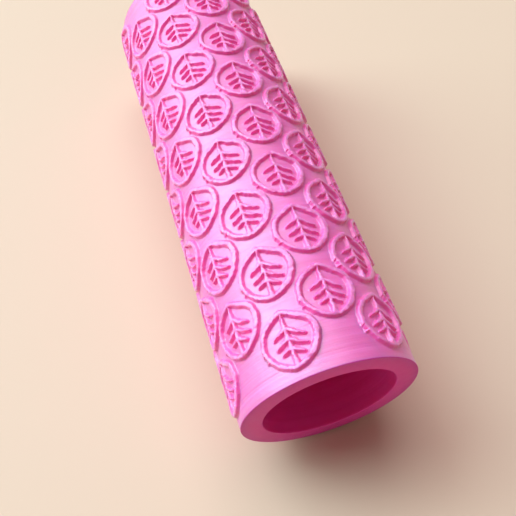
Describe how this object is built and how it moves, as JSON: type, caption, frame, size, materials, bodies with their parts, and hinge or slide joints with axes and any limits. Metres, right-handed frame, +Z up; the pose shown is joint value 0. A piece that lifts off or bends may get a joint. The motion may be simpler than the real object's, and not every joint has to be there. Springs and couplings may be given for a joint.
{
  "type": "textured pattern roller",
  "caption": "Hollow one-piece plastic texture roller, open at both ends, with raised leaf medallions in a half-drop repeat for embossing clay or dough.",
  "frame": {"origin": "centre of the sleeve, on its axis, midway between the two end faces", "axes": "+Y along the sleeve's axis from the near end face to the far one, +Z up, +X to the side; the sleeve lies on its side"},
  "size_m": [0.0332, 0.1, 0.0332],
  "materials": {
    "tube_plastic": "satin pink printed plastic with fine layer lines",
    "relief_plastic": "satin pink printed plastic, slightly rough along the raised edges"
  },
  "bodies": {
    "root": {"roller_tube": "tube_plastic", "leaf_column_01": "relief_plastic", "leaf_column_02": "relief_plastic", "leaf_column_03": "relief_plastic", "leaf_column_04": "relief_plastic", "leaf_column_05": "relief_plastic", "leaf_column_06": "relief_plastic", "leaf_column_07": "relief_plastic", "leaf_column_08": "relief_plastic", "leaf_column_09": "relief_plastic", "leaf_column_10": "relief_plastic", "leaf_column_11": "relief_plastic", "leaf_column_12": "relief_plastic"}
  },
  "joints": []
}
